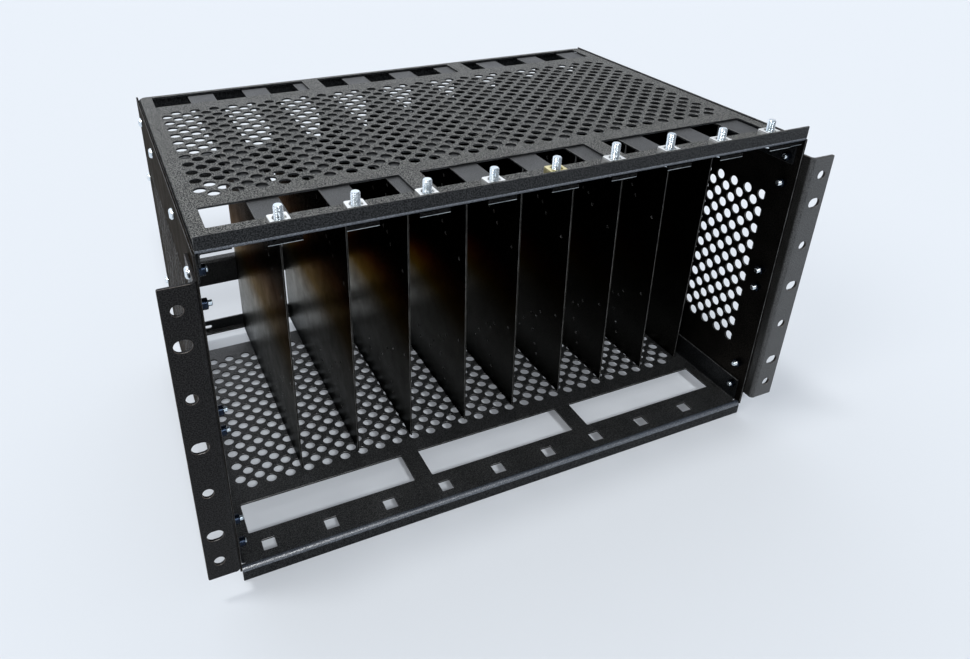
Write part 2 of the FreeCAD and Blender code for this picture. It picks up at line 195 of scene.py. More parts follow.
class Metal:
    """The faces of one piece, in millimetres, with vertices shared where pieces of sheet meet."""

    SEAM_STEP = 0.4
    SHARP = math.radians(32)

    def __init__(self):
        self.bm = bmesh.new()
        self.known = {}

    def vert(self, p):
        key = (round(p[0], 3), round(p[1], 3), round(p[2], 3))
        if key not in self.known:
            self.known[key] = self.bm.verts.new((p[0] * MM, p[1] * MM, p[2] * MM))
        return self.known[key]

    def face(self, points, slot=COAT):
        verts = []
        for p in points:
            v = self.vert(p)
            if v not in verts:
                verts.append(v)
        if len(verts) < 3 or self.bm.faces.get(verts):
            return
        self.bm.faces.new(verts).material_index = slot

    def plate(self, place, thick, outline, holes=(), seams=(), bevel=0.22, coat=COAT):
        """A flat sheet with holes. place(u, v, w) is a point in space, with w through the sheet.
        A seam is an outline edge that carries on into a neighbour, so it has no bevel."""
        points, seam_edges = [], set()
        n = len(outline)
        for i in range(n):
            here, after = Vector(outline[i]), Vector(outline[(i + 1) % n])
            points.append(outline[i])
            if i in seams:
                seam_edges.add(len(points) - 1)
                continue
            length = (after - here).length
            if length > 2 and (i - 1) % n in seams:
                points.append(tuple(here.lerp(after, self.SEAM_STEP / length)))
            if length > 2 and (i + 1) % n in seams:
                points.append(tuple(here.lerp(after, 1 - self.SEAM_STEP / length)))
        n = len(points)
        at_seam = [i in seam_edges or (i - 1) % n in seam_edges for i in range(n)]
        inner = inset(points, [0 if i in seam_edges else bevel for i in range(n)])
        inner = [points[i] if at_seam[i] else inner[i] for i in range(n)]
        depth = [0 if s else bevel for s in at_seam]
        wide = [inset(h, [-bevel] * len(h)) for h in holes]
        flat, faces = [Vector(p) for p in inner], [list(range(n))]
        for h in wide:
            faces.append(list(range(len(flat), len(flat) + len(h))))
            flat += [Vector(p) for p in h]
        verts, _, tris, _, _, source = geometry.delaunay_2d_cdt(flat, [], faces, 1, 1e-5)
        for tri, inside in zip(tris, source):
            if max(inside) > 0:
                continue
            corner = [verts[i] for i in tri]
            self.face([place(c.x, c.y, thick) for c in corner], coat)
            self.face([place(c.x, c.y, 0) for c in reversed(corner)], coat)
        rings = [(points, inner, depth, seam_edges)]
        rings += [(h, w, [bevel] * len(h), set()) for h, w in zip(holes, wide)]
        for ring, rim, deep, skipped in rings:
            for i in range(len(ring)):
                if i in skipped:
                    continue
                j = (i + 1) % len(ring)
                a, b, ra, rb = ring[i], ring[j], rim[i], rim[j]
                upper = [place(*a, thick - deep[i]), place(*b, thick - deep[j])]
                lower = [place(*a, deep[i]), place(*b, deep[j])]
                self.face([place(*ra, thick), place(*rb, thick), upper[1], upper[0]], EDGE)
                self.face([*upper, lower[1], lower[0]], coat)
                self.face([*lower, place(*rb, 0), place(*ra, 0)], EDGE)

    def strip(self, place, outer, inner, start, end, free=True, stations=(), sheen=0):
        """Bent sheet: matching outer and inner lines, swept from start to end. free closes the far
        edge. After the first face of the outer line, as many as sheen says get the bend's coat, which
        paints a highlight along the bend."""
        last = len(outer) - 2
        places = [start, *stations, end]
        for low, high in zip(places, places[1:]):
            for line in (outer, inner):
                for i in range(len(line) - 1):
                    a, b = line[i], line[i + 1]
                    slot = EDGE if free and i == last else COAT
                    if line is outer and 0 < i <= sheen:
                        slot = BEND
                    self.face([place(*a, low), place(*b, low), place(*b, high), place(*a, high)], slot)
            if free:
                a, b = outer[-1], inner[-1]
                self.face([place(*a, low), place(*b, low), place(*b, high), place(*a, high)])
        for w in (start, end):
            for i in range(len(outer) - 1):
                self.face([place(*p, w) for p in (outer[i], outer[i + 1], inner[i + 1], inner[i])])

    def lathe(self, place, profile, n, closed=False, turn=0.0, shape=None):
        """A turned form: profile holds (radius, height), and shape(angle, radius, height) may
        change the radius. closed joins the profile's last point to its first."""
        rows = []
        for r, h in profile:
            row = []
            for i in range(n):
                a = turn + 2 * math.pi * i / n
                rr = shape(a, r, h) if shape else r
                row.append(place(rr * math.cos(a), rr * math.sin(a), h))
            rows.append(row)
        if closed:
            rows.append(rows[0])
        for one, two in zip(rows, rows[1:]):
            for i in range(n):
                j = (i + 1) % n
                self.face([one[i], one[j], two[j], two[i]])
        if not closed:
            for row in (rows[0], rows[-1]):
                self.face(row)

    def finish(self, name, materials, replaced, slot, weighted=True):
        bm = self.bm
        bmesh.ops.recalc_face_normals(bm, faces=bm.faces[:])
        mesh = bpy.data.meshes.new(name)
        bm.to_mesh(mesh)
        bm.free()
        for m in materials:
            mesh.materials.append(m)
        mesh.polygons.foreach_set("use_smooth", [True] * len(mesh.polygons))
        mesh.set_sharp_from_angle(angle=self.SHARP)
        piece = bpy.data.objects.new(name, mesh)
        bpy.context.scene.collection.objects.link(piece)
        if weighted:
            modifier = piece.modifiers.new("flat_faces_first", "WEIGHTED_NORMAL")
            modifier.mode = "FACE_AREA"
            modifier.weight = 100
            modifier.keep_sharp = True
        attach(piece, "root")
        if replaced:
            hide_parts(*replaced)


# Materials. Coordinates are the object's own, in metres: a scale of 1000 is a grain of about 1 mm.


class Nodes:
    def __init__(self, name):
        self.material = bpy.data.materials.new(name)
        self.material.use_nodes = True
        self.tree = self.material.node_tree
        self.tree.nodes.clear()
        self.shader = self.add("ShaderNodeBsdfPrincipled")
        self.output = self.add("ShaderNodeOutputMaterial")
        self.join(self.shader.outputs["BSDF"], self.output.inputs["Surface"])
        self.place = self.add("ShaderNodeTexCoord").outputs["Object"]

    def add(self, kind, **values):
        node = self.tree.nodes.new(kind)
        for key, value in values.items():
            setattr(node, key, value)
        return node

    def join(self, a, b):
        self.tree.links.new(a, b)

    def give(self, output, name):
        self.join(output, self.shader.inputs[name])

    def noise(self, scale, detail=2.0, rough=0.5):
        node = self.add("ShaderNodeTexNoise")
        node.inputs["Scale"].default_value = scale
        node.inputs["Detail"].default_value = detail
        node.inputs["Roughness"].default_value = rough
        self.join(self.place, node.inputs["Vector"])
        return node.outputs["Fac"]

    def ramp(self, factor, *stops):
        node = self.add("ShaderNodeValToRGB")
        elements = node.color_ramp.elements
        while len(elements) < len(stops):
            elements.new(0.5)
        for element, (position, colour) in zip(elements, stops):
            element.position = position
            element.color = (*colour, 1)
        self.join(factor, node.inputs["Fac"])
        return node.outputs["Color"]

    def spread(self, factor, low, high, start=0.3, end=0.7):
        node = self.add("ShaderNodeMapRange")
        node.inputs["From Min"].default_value = start
        node.inputs["From Max"].default_value = end
        node.inputs["To Min"].default_value = low
        node.inputs["To Max"].default_value = high
        self.join(factor, node.inputs["Value"])
        return node.outputs["Result"]

    def mix(self, factor, a, b):
        node = self.add("ShaderNodeMix", data_type="RGBA")
        self.join(factor, node.inputs["Factor"])
        self.join(a, node.inputs[6])
        self.join(b, node.inputs[7])
        return node.outputs[2]

    def mix_values(self, factor, a, b):
        node = self.add("ShaderNodeMix")
        self.join(factor, node.inputs[0])
        self.join(a, node.inputs[2])
        self.join(b, node.inputs[3])
        return node.outputs[0]

    def bump(self, height, strength, distance):
        node = self.add("ShaderNodeBump")
        node.inputs["Strength"].default_value = strength
        node.inputs["Distance"].default_value = distance
        self.join(height, node.inputs["Height"])
        return node.outputs["Normal"]


def powder_coat(name, dark, light, rough, grain, shine, bump, dust_and_sheen=None, upper_painted_sheen=None):
    """Textured black powder coat: cloudy tone and fine grains, some of which catch the light.
    shine holds the specular level of the dull and of the bright grains. On surfaces that look up,
    dust_and_sheen is the tone of the bright grains, partly dust and partly a painted sheen, and
    upper_painted_sheen takes the place of shine, a painted sheen on the upper faces."""
    n = Nodes(name)
    grains = n.noise(grain, 2, 0.5)
    clouds = n.spread(n.noise(28, 4, 0.6), 0, 1)
    pale_cloud = n.ramp(grains, (0.40, dark), (0.62, light))
    dark_cloud = n.ramp(grains, (0.46, dark), (0.68, light))
    tone = n.mix(clouds, pale_cloud, dark_cloud)
    level = n.spread(grains, *shine, 0.38, 0.62)
    # Upward faces get lighter grains and more specular: partly dust, partly a painted sheen from light
    # falling on the top.
    if dust_and_sheen:
        facing = n.add("ShaderNodeSeparateXYZ")
        n.join(n.add("ShaderNodeNewGeometry").outputs["Normal"], facing.inputs["Vector"])
        up = n.spread(facing.outputs["Z"], 0, 1, 0.6, 0.95)
        tone = n.mix(up, tone, n.ramp(grains, (0.46, dark), (0.60, dust_and_sheen)))
        level = n.mix_values(up, level, n.spread(grains, *upper_painted_sheen, 0.44, 0.60))
    n.give(tone, "Base Color")
    n.give(n.spread(n.noise(60, 3, 0.6), rough - 0.05, rough + 0.07), "Roughness")
    n.give(level, "Specular IOR Level")
    n.give(n.bump(grains, bump, 0.0004), "Normal")
    return n.material


def satin_black(name, tone, rough, grain, bump, *painted_reflection):
    """Smooth black finish of the thin sheets. painted_reflection holds stops of height in metres and
    the colour that the sheet takes on when it is seen at a low angle: a painted reflection of the
    surroundings at that height."""
    n = Nodes(name)
    grains = n.noise(grain, 2, 0.5)
    dark, light = tuple(c * 0.3 for c in tone), tuple(c * 1.7 for c in tone)
    n.give(n.ramp(grains, (0.38, dark), (0.62, light)), "Base Color")
    n.shader.inputs["Metallic"].default_value = 1.0
    # The specular tint follows height: a painted reflection, pale low down, brown higher up, near black
    # at the top.
    height = n.add("ShaderNodeSeparateXYZ")
    n.join(n.place, height.inputs["Vector"])
    low, high = painted_reflection[0][0], painted_reflection[-1][0]
    share = n.spread(height.outputs["Z"], 0, 1, low, high)
    stops = [((z - low) / (high - low), colour) for z, colour in painted_reflection]
    n.give(n.ramp(share, *stops), "Specular Tint")
    n.give(n.spread(n.noise(60, 3, 0.6), rough - 0.05, rough + 0.07), "Roughness")
    n.give(n.bump(grains, bump, 0.0003), "Normal")
    return n.material


def edge_wear_and_highlight(name, coat, bare, rough):
    """The rounded edge of coated sheet, lighter in places: partly rubbed wear, partly a painted
    highlight where the edge catches the light.
    """
    n = Nodes(name)
    n.give(n.ramp(n.noise(90, 4, 0.7), (0.42, coat), (0.62, bare)), "Base Color")
    n.give(n.spread(n.noise(150, 2), rough, rough + 0.15), "Roughness")
    n.give(n.bump(n.noise(900, 2), 0.2, 0.0001), "Normal")
    return n.material


def plated(name, dark, light, rough, bump=0.15, scale=500):
    """Plated steel: cloudy tone, uneven polish and fine grain."""
    n = Nodes(name)
    n.give(n.ramp(n.noise(scale * 0.5, 3, 0.6), (0.3, dark), (0.7, light)), "Base Color")
    n.shader.inputs["Metallic"].default_value = 1.0
    n.give(n.spread(n.noise(scale, 3), rough - 0.07, rough + 0.12), "Roughness")
    n.give(n.bump(n.noise(scale * 3, 2, 0.5), bump, 0.0001), "Normal")
    return n.material


# The roof and deck coats are lighter and glossier on upward faces: partly dust, partly a painted sheen.
black_coat = powder_coat(
    "black_powder_coat", (0.0030, 0.0036, 0.0042), (0.0090, 0.0102, 0.0116),
    rough=0.40, grain=1150, shine=(0.10, 0.42), bump=0.8,
    dust_and_sheen=(0.095, 0.092, 0.074), upper_painted_sheen=(0.05, 1.15),
)
deck_coat = powder_coat(
    "deck_powder_coat", (0.0030, 0.0034, 0.0038), (0.0080, 0.0090, 0.0100),
    rough=0.42, grain=1400, shine=(0.05, 0.30), bump=0.7,
    dust_and_sheen=(0.027, 0.028, 0.028), upper_painted_sheen=(0.50, 1.10),
)
# The bend coat is lighter, bluish and glossier than the black coat: a painted highlight along the
# trays' lip bends.
bend_painted_highlight = powder_coat(
    "bend_coat_painted_highlight", (0.008, 0.013, 0.022), (0.034, 0.050, 0.076),
    rough=0.40, grain=1400, shine=(1.0, 2.4), bump=0.4,
)
black_edge = edge_wear_and_highlight("black_coat_edge", (0.020, 0.020, 0.020), (0.115, 0.117, 0.118), 0.34)
# The side panels' brown specular tint is a painted reflection of warm light from the low left.
side_coat = satin_black(
    "side_black_coat", (0.024, 0.022, 0.020), 0.44, 1250, 0.35,
    (0.0, (0.22, 0.18, 0.13)), (0.26, (0.22, 0.18, 0.13)),
)
# Both ears have the same coat. The left one is darker with little specular as painted shade; the right
# one is lighter with more specular as a painted sheen.
left_ear_painted_shade = powder_coat(
    "left_ear_coat_painted_shade", (0.0020, 0.0019, 0.0019), (0.0070, 0.0064, 0.0062),
    rough=0.40, grain=1300, shine=(0.08, 0.26), bump=0.3,
)
right_ear_painted_sheen = powder_coat(
    "right_ear_coat_painted_sheen", (0.0040, 0.0040, 0.0036), (0.0150, 0.0148, 0.0132),
    rough=0.36, grain=1300, shine=(0.50, 1.20), bump=0.3,
)
ear_edge = edge_wear_and_highlight("ear_coat_edge", (0.030, 0.022, 0.018), (0.090, 0.070, 0.055), 0.32)
# The dividers' height-ramped specular tint is a painted reflection: pale like the floor low down, brown
# like a warm surface higher up.
divider_coat = satin_black(
    "divider_satin_black", (0.020, 0.019, 0.017), 0.33, 1150, 0.35,
    (0.01, (0.25, 0.26, 0.27)), (0.045, (1.0, 1.0, 0.97)), (0.085, (1.0, 0.97, 0.90)),
    (0.115, (0.62, 0.48, 0.32)), (0.165, (0.21, 0.140, 0.080)), (0.195, (0.06, 0.042, 0.026)),
    (0.25, (0.02, 0.016, 0.011)),
)
divider_edge = edge_wear_and_highlight("divider_coat_edge", (0.070, 0.070, 0.068), (0.22, 0.22, 0.215), 0.35)
# The hem's front face gets a near-black coat without sheen: painted shade.
hem_painted_shade = powder_coat(
    "hem_coat_painted_shade", (0.0012, 0.0012, 0.0012), (0.0040, 0.0040, 0.0040),
    rough=0.5, grain=1250, shine=(0.0, 0.1), bump=0.3,
)
# The tongues' lower rim is a light bluish grey: a painted highlight line.
rim_painted_highlight = edge_wear_and_highlight("rim_painted_highlight", (0.22, 0.25, 0.27), (0.45, 0.49, 0.52), 0.30)
rail_coat = powder_coat(
    "rail_powder_coat", (0.0060, 0.0060, 0.0060), (0.0110, 0.0110, 0.0105),
    rough=0.45, grain=1250, shine=(0.12, 0.7), bump=0.4,
)
zinc = plated("bright_zinc", (0.78, 0.79, 0.78), (0.95, 0.95, 0.93), 0.36, 0.05)
yellow_zinc = plated("yellow_zinc", (0.62, 0.55, 0.28), (0.88, 0.80, 0.48), 0.36, 0.05)
steel = plated("screw_steel", (0.66, 0.74, 0.80), (0.86, 0.92, 0.96), 0.24, 0.03, 300)
# The press nuts are zinc; their near-black blue tone is painted shade with a painted blue reflection.
blue_zinc = plated("blue_zinc", (0.005, 0.007, 0.012), (0.018, 0.026, 0.042), 0.24)


# The trays. The roof is the floor turned half way round its long axis.


def tray_holes():
    holes = []
    for r in range(TRAY_ROWS):
        count = 27 if r % 2 == 0 else 28
        first = -HOLE_STEP * (count - 1) / 2
        y = TRAY_FIRST_Y + ROW_STEP * r
        holes += [circle(first + HOLE_STEP * i, y, HOLE_R, HOLE_SIDES) for i in range(count)]
    for x0, x1 in WINDOWS_X:
        for y0, y1 in WINDOWS_Y:
            holes.append(rounded(x0, y0, x1, y1, 1.0))
    for x in SQUARE_X:
        holes.append(rounded(
            x - SQUARE_HALF, SQUARE_Y - SQUARE_HALF, x + SQUARE_HALF, SQUARE_Y + SQUARE_HALF, 0.5, 3,
        ))
    return holes


def bend(a, b, start, end):
    """A bend of the sheet round (a, b), from one angle to another: its outer and its inner line."""
    return [arc(a, b, r, start, end, BEND_STEPS) for r in (BEND_OUT, BEND_IN)]


def tray(name, turn, replaced, coat, slots):
    m = Metal()
    flange_start, flange_end = SIDE_FLANGE_Y
    outline = [
        (-FLAT_X, DECK_FRONT), (FLAT_X, DECK_FRONT), (FLAT_X, flange_start), (FLAT_X, flange_end),
        (FLAT_X, DECK_REAR), (REAR_FLANGE_X, DECK_REAR), (-REAR_FLANGE_X, DECK_REAR),
        (-FLAT_X, DECK_REAR), (-FLAT_X, flange_end), (-FLAT_X, flange_start),
    ]
    m.plate(
        lambda x, y, w: turn(x, y, FLOOR_LOW + w), FLOOR_TOP - FLOOR_LOW, outline, tray_holes(),
        seams=(0, 2, 5, 8),
    )

    # The front lip turns down and runs the full width. Its bend carries a painted highlight.
    b = RIM_BEVEL
    outer, inner = bend(Y_FRONT + BEND_OUT, FLOOR_TOP - BEND_OUT, 90, 180)
    outer = [(DECK_FRONT, FLOOR_TOP), *outer, (Y_FRONT, b), (Y_FRONT + b, 0)]
    inner = [(DECK_FRONT, FLOOR_LOW), *inner, (Y_FRONT + SHEET, b), (Y_FRONT + SHEET - b, 0)]
    m.strip(
        lambda y, z, x: turn(x, y, z), outer, inner, -PANEL_X, PANEL_X,
        stations=(-FLAT_X, FLAT_X), sheen=BEND_STEPS,
    )

    # The side flanges turn up. In front of them the lip's flat ends in a narrow rear face.
    bend_z = FLOOR_LOW + BEND_OUT
    for s in (-1, 1):
        m.face([
            turn(s * FLAT_X, DECK_FRONT, FLOOR_TOP), turn(s * PANEL_X, DECK_FRONT, FLOOR_TOP),
            turn(s * PANEL_X, DECK_FRONT, FLOOR_LOW), turn(s * FLAT_X, DECK_FRONT, FLOOR_LOW),
        ])
        outer, inner = bend(FLAT_X, bend_z, -90, 0)
        outer += [(PANEL_X, SIDE_FLANGE_TOP - b), (PANEL_X - b, SIDE_FLANGE_TOP)]
        inner += [(PANEL_X - SHEET, SIDE_FLANGE_TOP - b), (PANEL_X - SHEET + b, SIDE_FLANGE_TOP)]
        m.strip(lambda x, z, y: turn(s * x, y, z), outer, inner, flange_start, flange_end)

    # The rear flange turns up too.
    outer, inner = bend(DECK_REAR, bend_z, -90, 0)
    m.strip(
        lambda y, z, x: turn(x, y, z), outer, inner, -REAR_FLANGE_X, REAR_FLANGE_X, free=False,
    )
    upright = [
        (-REAR_FLANGE_X, bend_z), (REAR_FLANGE_X, bend_z),
        (REAR_FLANGE_X, REAR_FLANGE_TOP), (-REAR_FLANGE_X, REAR_FLANGE_TOP),
    ]
    m.plate(lambda x, z, w: turn(x, Y_REAR - SHEET + w, z), SHEET, upright, slots, seams=(0,))
    m.finish(name, [coat, black_edge, bend_painted_highlight], [replaced], "black_sheet")


rear_slots = [rounded(x + 2.4, 14.8, x + 10.4, 18.2, 1.65) for x in SQUARE_X]
tray("floor_tray", lambda x, y, z: (x, y, z), "bottom_panel", deck_coat, rear_slots)
tray("roof_tray", lambda x, y, z: (-x, y, 2 * Z_MID - z), "top_panel", black_coat, [])


def side_panel(name, s, replaced):
    m = Metal()
    holes = []
    for k in range(SIDE_ROWS):
        count = 10 if k % 2 == 0 else 9
        first = Z_MID - HOLE_STEP * (count - 1) / 2
        y = SIDE_FIRST_Y + ROW_STEP * k
        holes += [circle(y, first + HOLE_STEP * i, HOLE_R, HOLE_SIDES) for i in range(count)]
    outline = [(Y_FRONT, FLOOR_LOW), (Y_REAR, FLOOR_LOW), (Y_REAR, ROOF_TOP), (Y_FRONT, ROOF_TOP)]
    m.plate(lambda y, z, w: (s * (PANEL_X + w), y, z), SHEET, outline, holes)
    m.finish(name, [side_coat, black_edge], [replaced], "black_sheet")


side_panel("side_sheet_right", 1, "side_panel_right")
side_panel("side_sheet_left", -1, "side_panel_left")


# Rack ears: a leg along the side panel and a flange with the rack holes.


def ear(name, s, replaced, coat):
    m = Metal()
    outer = arc(EAR_BEND_X, EAR_BEND_Y, EAR_BEND_OUT, 180, 270, BEND_STEPS)
    inner = arc(EAR_BEND_X, EAR_BEND_Y, EAR_BEND_IN, 180, 270, BEND_STEPS)
    m.strip(lambda x, y, z: (s * x, y, z), outer, inner, EAR_LOW, EAR_HIGH, free=False)
    leg = [
        (EAR_BEND_Y, EAR_LOW), (EAR_REAR, EAR_LOW), (EAR_REAR, EAR_HIGH), (EAR_BEND_Y, EAR_HIGH),
    ]
    m.plate(lambda y, z, w: (s * (PANEL_X + SHEET + w), y, z), EAR_SHEET, leg, seams=(3,))
    x = RACK_HOLE_X
    holes = []
    for z in SLOT_Z:
        low, high = Z_MID + z - SLOT_HALF_Z, Z_MID + z + SLOT_HALF_Z
        holes.append(rounded(x - SLOT_HALF_X, low, x + SLOT_HALF_X, high, SLOT_R, 8))
    holes += [circle(x, Z_MID + z, ROUND_R, 28) for z in ROUND_Z]
    r = EAR_CORNER_R
    outline = [(EAR_BEND_X, EAR_LOW)]
    outline += arc(EAR_TIP_X - r, EAR_LOW + r, r, -90, 0, 2)
    outline += arc(EAR_TIP_X - r, EAR_HIGH - r, r, 0, 90, 2)
    outline += [(EAR_BEND_X, EAR_HIGH)]
    m.plate(
        lambda x, z, w: (s * x, EAR_BEND_Y - EAR_BEND_IN - w, z), EAR_SHEET, outline, holes,
        seams=(len(outline) - 1,),
    )
    m.finish(name, [coat, ear_edge], [replaced], "ear_sheet")


ear("ear_right", 1, "rack_ear_right", right_ear_painted_sheen)
ear("ear_left", -1, "rack_ear_left", left_ear_painted_shade)


# Dividers: a leaning plate that hangs from a flange under the roof, with a tongue to the front.


def guide_holes(last):
    """Small holes in the plate, as (y, z, radius)."""
    if last:
        return [(LAST_GUIDE_Y + Y_FRONT, z + FLOOR_TOP, LAST_GUIDE_R) for z in LAST_GUIDE_Z]
    holes = []
    for y, away in GUIDE_HOLES:
        for side in (-1, 1):
            holes.append((y + Y_FRONT, GUIDE_MIDDLE_Z + side * away, GUIDE_R))
    holes += [(y + Y_FRONT, z + FLOOR_TOP, GUIDE_R) for y, z in LOWER_GUIDE_HOLES]
    return holes


def hem(m, x0, x1, y):
    """The front of a tongue turns down round a small bend and ends in a rim. The turned-down face
    takes a coat darkened as painted shade, and the rim a painted highlight.
    """
    t, half = DIVIDER_SHEET, DIVIDER_SHEET / 2
    bend_steps = 5
    outer = arc(y + t, FLANGE_Z, t, 90, 180, bend_steps) + arc(y + half, RIM_Z, half, 180, 270, 4)
    inner = [(y + t, FLANGE_Z)] * (bend_steps + 1) + arc(y + half, RIM_Z, half, 0, -90, 4)
    for line in (outer, inner):
        for i in range(len(line) - 1):
            (ya, za), (yb, zb) = line[i], line[i + 1]
            slot = RIM if i > bend_steps else HEM
            m.face([(x0, ya, za), (x1, ya, za), (x1, yb, zb), (x0, yb, zb)], slot)
    for x in (x0, x1):
        m.face([(x, *p) for p in outer] + [(x, *p) for p in reversed(inner[bend_steps:-1])], HEM)


def divider(number, x, lean):
    m = Metal()
    left, right, bend_x = x - FLANGE_HALF, x + FLANGE_HALF, x + FLANGE_BEND
    flange = [
        (left, TONGUE_FRONT), (right, TONGUE_FRONT), (right, PLATE_FRONT),
        (bend_x, PLATE_FRONT), (bend_x, PLATE_REAR), (left, PLATE_REAR),
    ]
    m.plate(
        lambda u, v, w: (u, v, FLANGE_Z + w), DIVIDER_SHEET, flange, [circle(x, SQUARE_Y, 3.3, 20)],
        seams=(0, 3), bevel=DIVIDER_BEVEL, coat=ROOF_COAT,
    )
    hem(m, left, right, HEM_FRONT)
    drop = DIVIDER_BEND_Z - PLATE_FOOT
    slope = Vector((lean, 0, -drop)).normalized()
    across = Vector((-slope.z, 0, slope.x))
    turn = math.degrees(math.atan2(lean, drop))
    outer = arc(bend_x, DIVIDER_BEND_Z, DIVIDER_BEND_OUT, 90, turn, 6)
    inner = arc(bend_x, DIVIDER_BEND_Z, DIVIDER_BEND_IN, 90, turn, 6)
    m.strip(lambda u, w, y: (u, y, w), outer, inner, PLATE_FRONT, PLATE_REAR, free=False)
    start = Vector((inner[-1][0], 0, inner[-1][1]))
    length = (start.z - PLATE_FOOT) / -slope.z

    def place(y, s, w):
        p = start + slope * s + across * w
        return (p.x, y, p.z)

    holes = []
    for y, z, r in guide_holes(number == PLACES):
        holes.append(circle(y, (start.z - z) / -slope.z, r, 12))
    outline = [(PLATE_FRONT, 0), (PLATE_REAR, 0), (PLATE_REAR, length), (PLATE_FRONT, length)]
    m.plate(place, DIVIDER_SHEET, outline, holes, seams=(0,), bevel=DIVIDER_BEVEL)
    coats = [divider_coat, divider_edge, deck_coat, rim_painted_highlight, hem_painted_shade]
    m.finish(f"divider_plate_{number}", coats, [f"divider_{number}"], "divider_sheet")


for i, (x, lean) in enumerate(zip(NUT_X, LEANS)):
    divider(i + 1, x, lean)


# Fasteners.


def thread(m, place, radius, pitch, start, end, n=20, per_turn=6, chamfer=0.6):
    """A screw thread as one turned surface whose ridge climbs round it."""
    depth = 0.54 * pitch
    rows = int((end - start) / pitch * per_turn)

    def shape(a, r, h):
        phase = (h / pitch - a / (2 * math.pi)) % 1.0
        ridge = abs(phase * 2 - 1)
        value = r - depth * min(1.0, max(0.0, ridge * 1.25 - 0.1))
        near = min(end - h, chamfer)
        return min(value, r - (chamfer - near))

    profile = [(radius, start + (end - start) * i / rows) for i in range(rows + 1)]
    m.lathe(place, profile, n, shape=shape)


def hexagon(across):
    def shape(a, r, h):
        step = math.pi / 3
        return min(r, across / 2 / math.cos((a + step / 2) % step - step / 2))
    return shape


def sideways(s, y, z):
    """Points on the outside of a side panel: w runs outwards."""
    return lambda u, v, w: (s * w, y + u, z + v)


def on_roof(x, tilt=0):
    """Points over a square hole, turned a little about the upright axis."""
    c, s = math.cos(tilt), math.sin(tilt)
    return lambda u, v, w: (x + c * u - s * v, SQUARE_Y + s * u + c * v, w)


studs = Metal()
for i, x in enumerate(NUT_X):
    tip = LONG_STUD_TIP if i in LONG_STUDS else STUD_TIP
    here = on_roof(x)
    thread(studs, here, 3.0, 1.0, FLANGE_Z, tip)
    head = [(5.0, FLANGE_Z - 4.0), (5.4, FLANGE_Z - 3.8), (5.77, FLANGE_Z - 3.5), (5.77, FLANGE_Z)]
    studs.lathe(here, head, 36, shape=hexagon(10.0), turn=0.1 * i)
studs.finish("cage_nut_studs", [steel], ["cage_nut_screws"], "screw_steel", weighted=False)


def cage(m, x, tilt):
    """Spring cage of a cage nut: a base on the roof, turned up into a low wall on each side."""
    place = on_roof(x, tilt)
    half_x, half_y = 4.6, 5.75
    base = [(-half_x, -half_y), (half_x, -half_y), (half_x, half_y), (-half_x, half_y)]
    m.plate(
        lambda u, v, w: place(u, v, ROOF_TOP + w), CAGE_SHEET, base, [circle(0, 0, 3.6, 20)],
        seams=(1, 3), bevel=0.12,
    )
    bend_z = ROOF_TOP + CAGE_BEND
    for k in (-1, 1):
        outer = [(half_x, ROOF_TOP)] + arc(half_x, bend_z, CAGE_BEND, -90, 0, 5)
        outer += [(5.8, CAGE_TOP - 0.3), (5.65, CAGE_TOP)]
        inner = [(half_x, BLOCK_Z)] + arc(half_x, bend_z, CAGE_BEND - CAGE_SHEET, -90, 0, 5)
        inner += [(5.1, CAGE_TOP - 0.3), (5.25, CAGE_TOP)]
        m.strip(lambda u, w, v: place(k * u, v, w), outer, inner, -half_y, half_y)


def nut(m, x, tilt):
    """The square nut in its cage: a block with a threaded bore under a wider flat plate."""
    place = on_roof(x, tilt)
    block = rounded(-4.9, -5.0, 4.9, 5.0, 0.6, 3)
    cap = rounded(-6.1, -5.7, 6.1, 5.7, 1.1, 4)
    bore, ring = circle(0, 0, 3.1, 24), circle(0.3, 0, 4.1, 24)
    m.plate(lambda u, v, w: place(u, v, BLOCK_Z + w), BLOCK_HEIGHT, block, [bore], bevel=0.2)
    m.plate(lambda u, v, w: place(u, v, CAP_Z + w), CAP_HEIGHT, cap, [ring], bevel=0.3)


cages, nuts, one_cage, one_nut = Metal(), Metal(), Metal(), Metal()
for i, (x, tilt) in enumerate(zip(NUT_X, NUT_TILTS)):
    cage(one_cage if i == MIDDLE_NUT else cages, x, tilt)
    nut(one_nut if i == MIDDLE_NUT else nuts, x, tilt)
cages.finish("nut_cages", [zinc, zinc], ["cage_nut_cages"], "zinc")
nuts.finish("nut_bodies", [zinc, zinc], ["cage_nut_bodies"], "zinc")
one_cage.finish("middle_nut_cage", [yellow_zinc, yellow_zinc], ["middle_cage"], "yellow_zinc")
one_nut.finish("middle_nut_body", [yellow_zinc, yellow_zinc], ["middle_cage_nut"], "yellow_zinc")


def button_screw(m, place, base, tip):
    """A small screw with a low domed head and a hexagon socket. base is the underside of the head."""
    radius, height, rim = 3.8, 2.4, 0.5
    dome = [(radius, base), (radius, base + rim)]
    for i in range(1, 6):
        a = math.radians(80 * i / 5)
        dome.append((1.9 + (radius - 1.9) * math.cos(a), base + rim + (height - rim) * math.sin(a)))
    socket = [(1.45, base + height), (1.44, base + height - 1.3)]
    six_sides = hexagon(2.5)
    m.lathe(place, dome + socket, 24, shape=lambda a, r, h: six_sides(a, r, h) if r < 1.5 else r)
    thread(m, lambda u, v, w: place(u, v, base - w), 2.0, 0.7, 0, base - tip, 14, 5, 0.4)


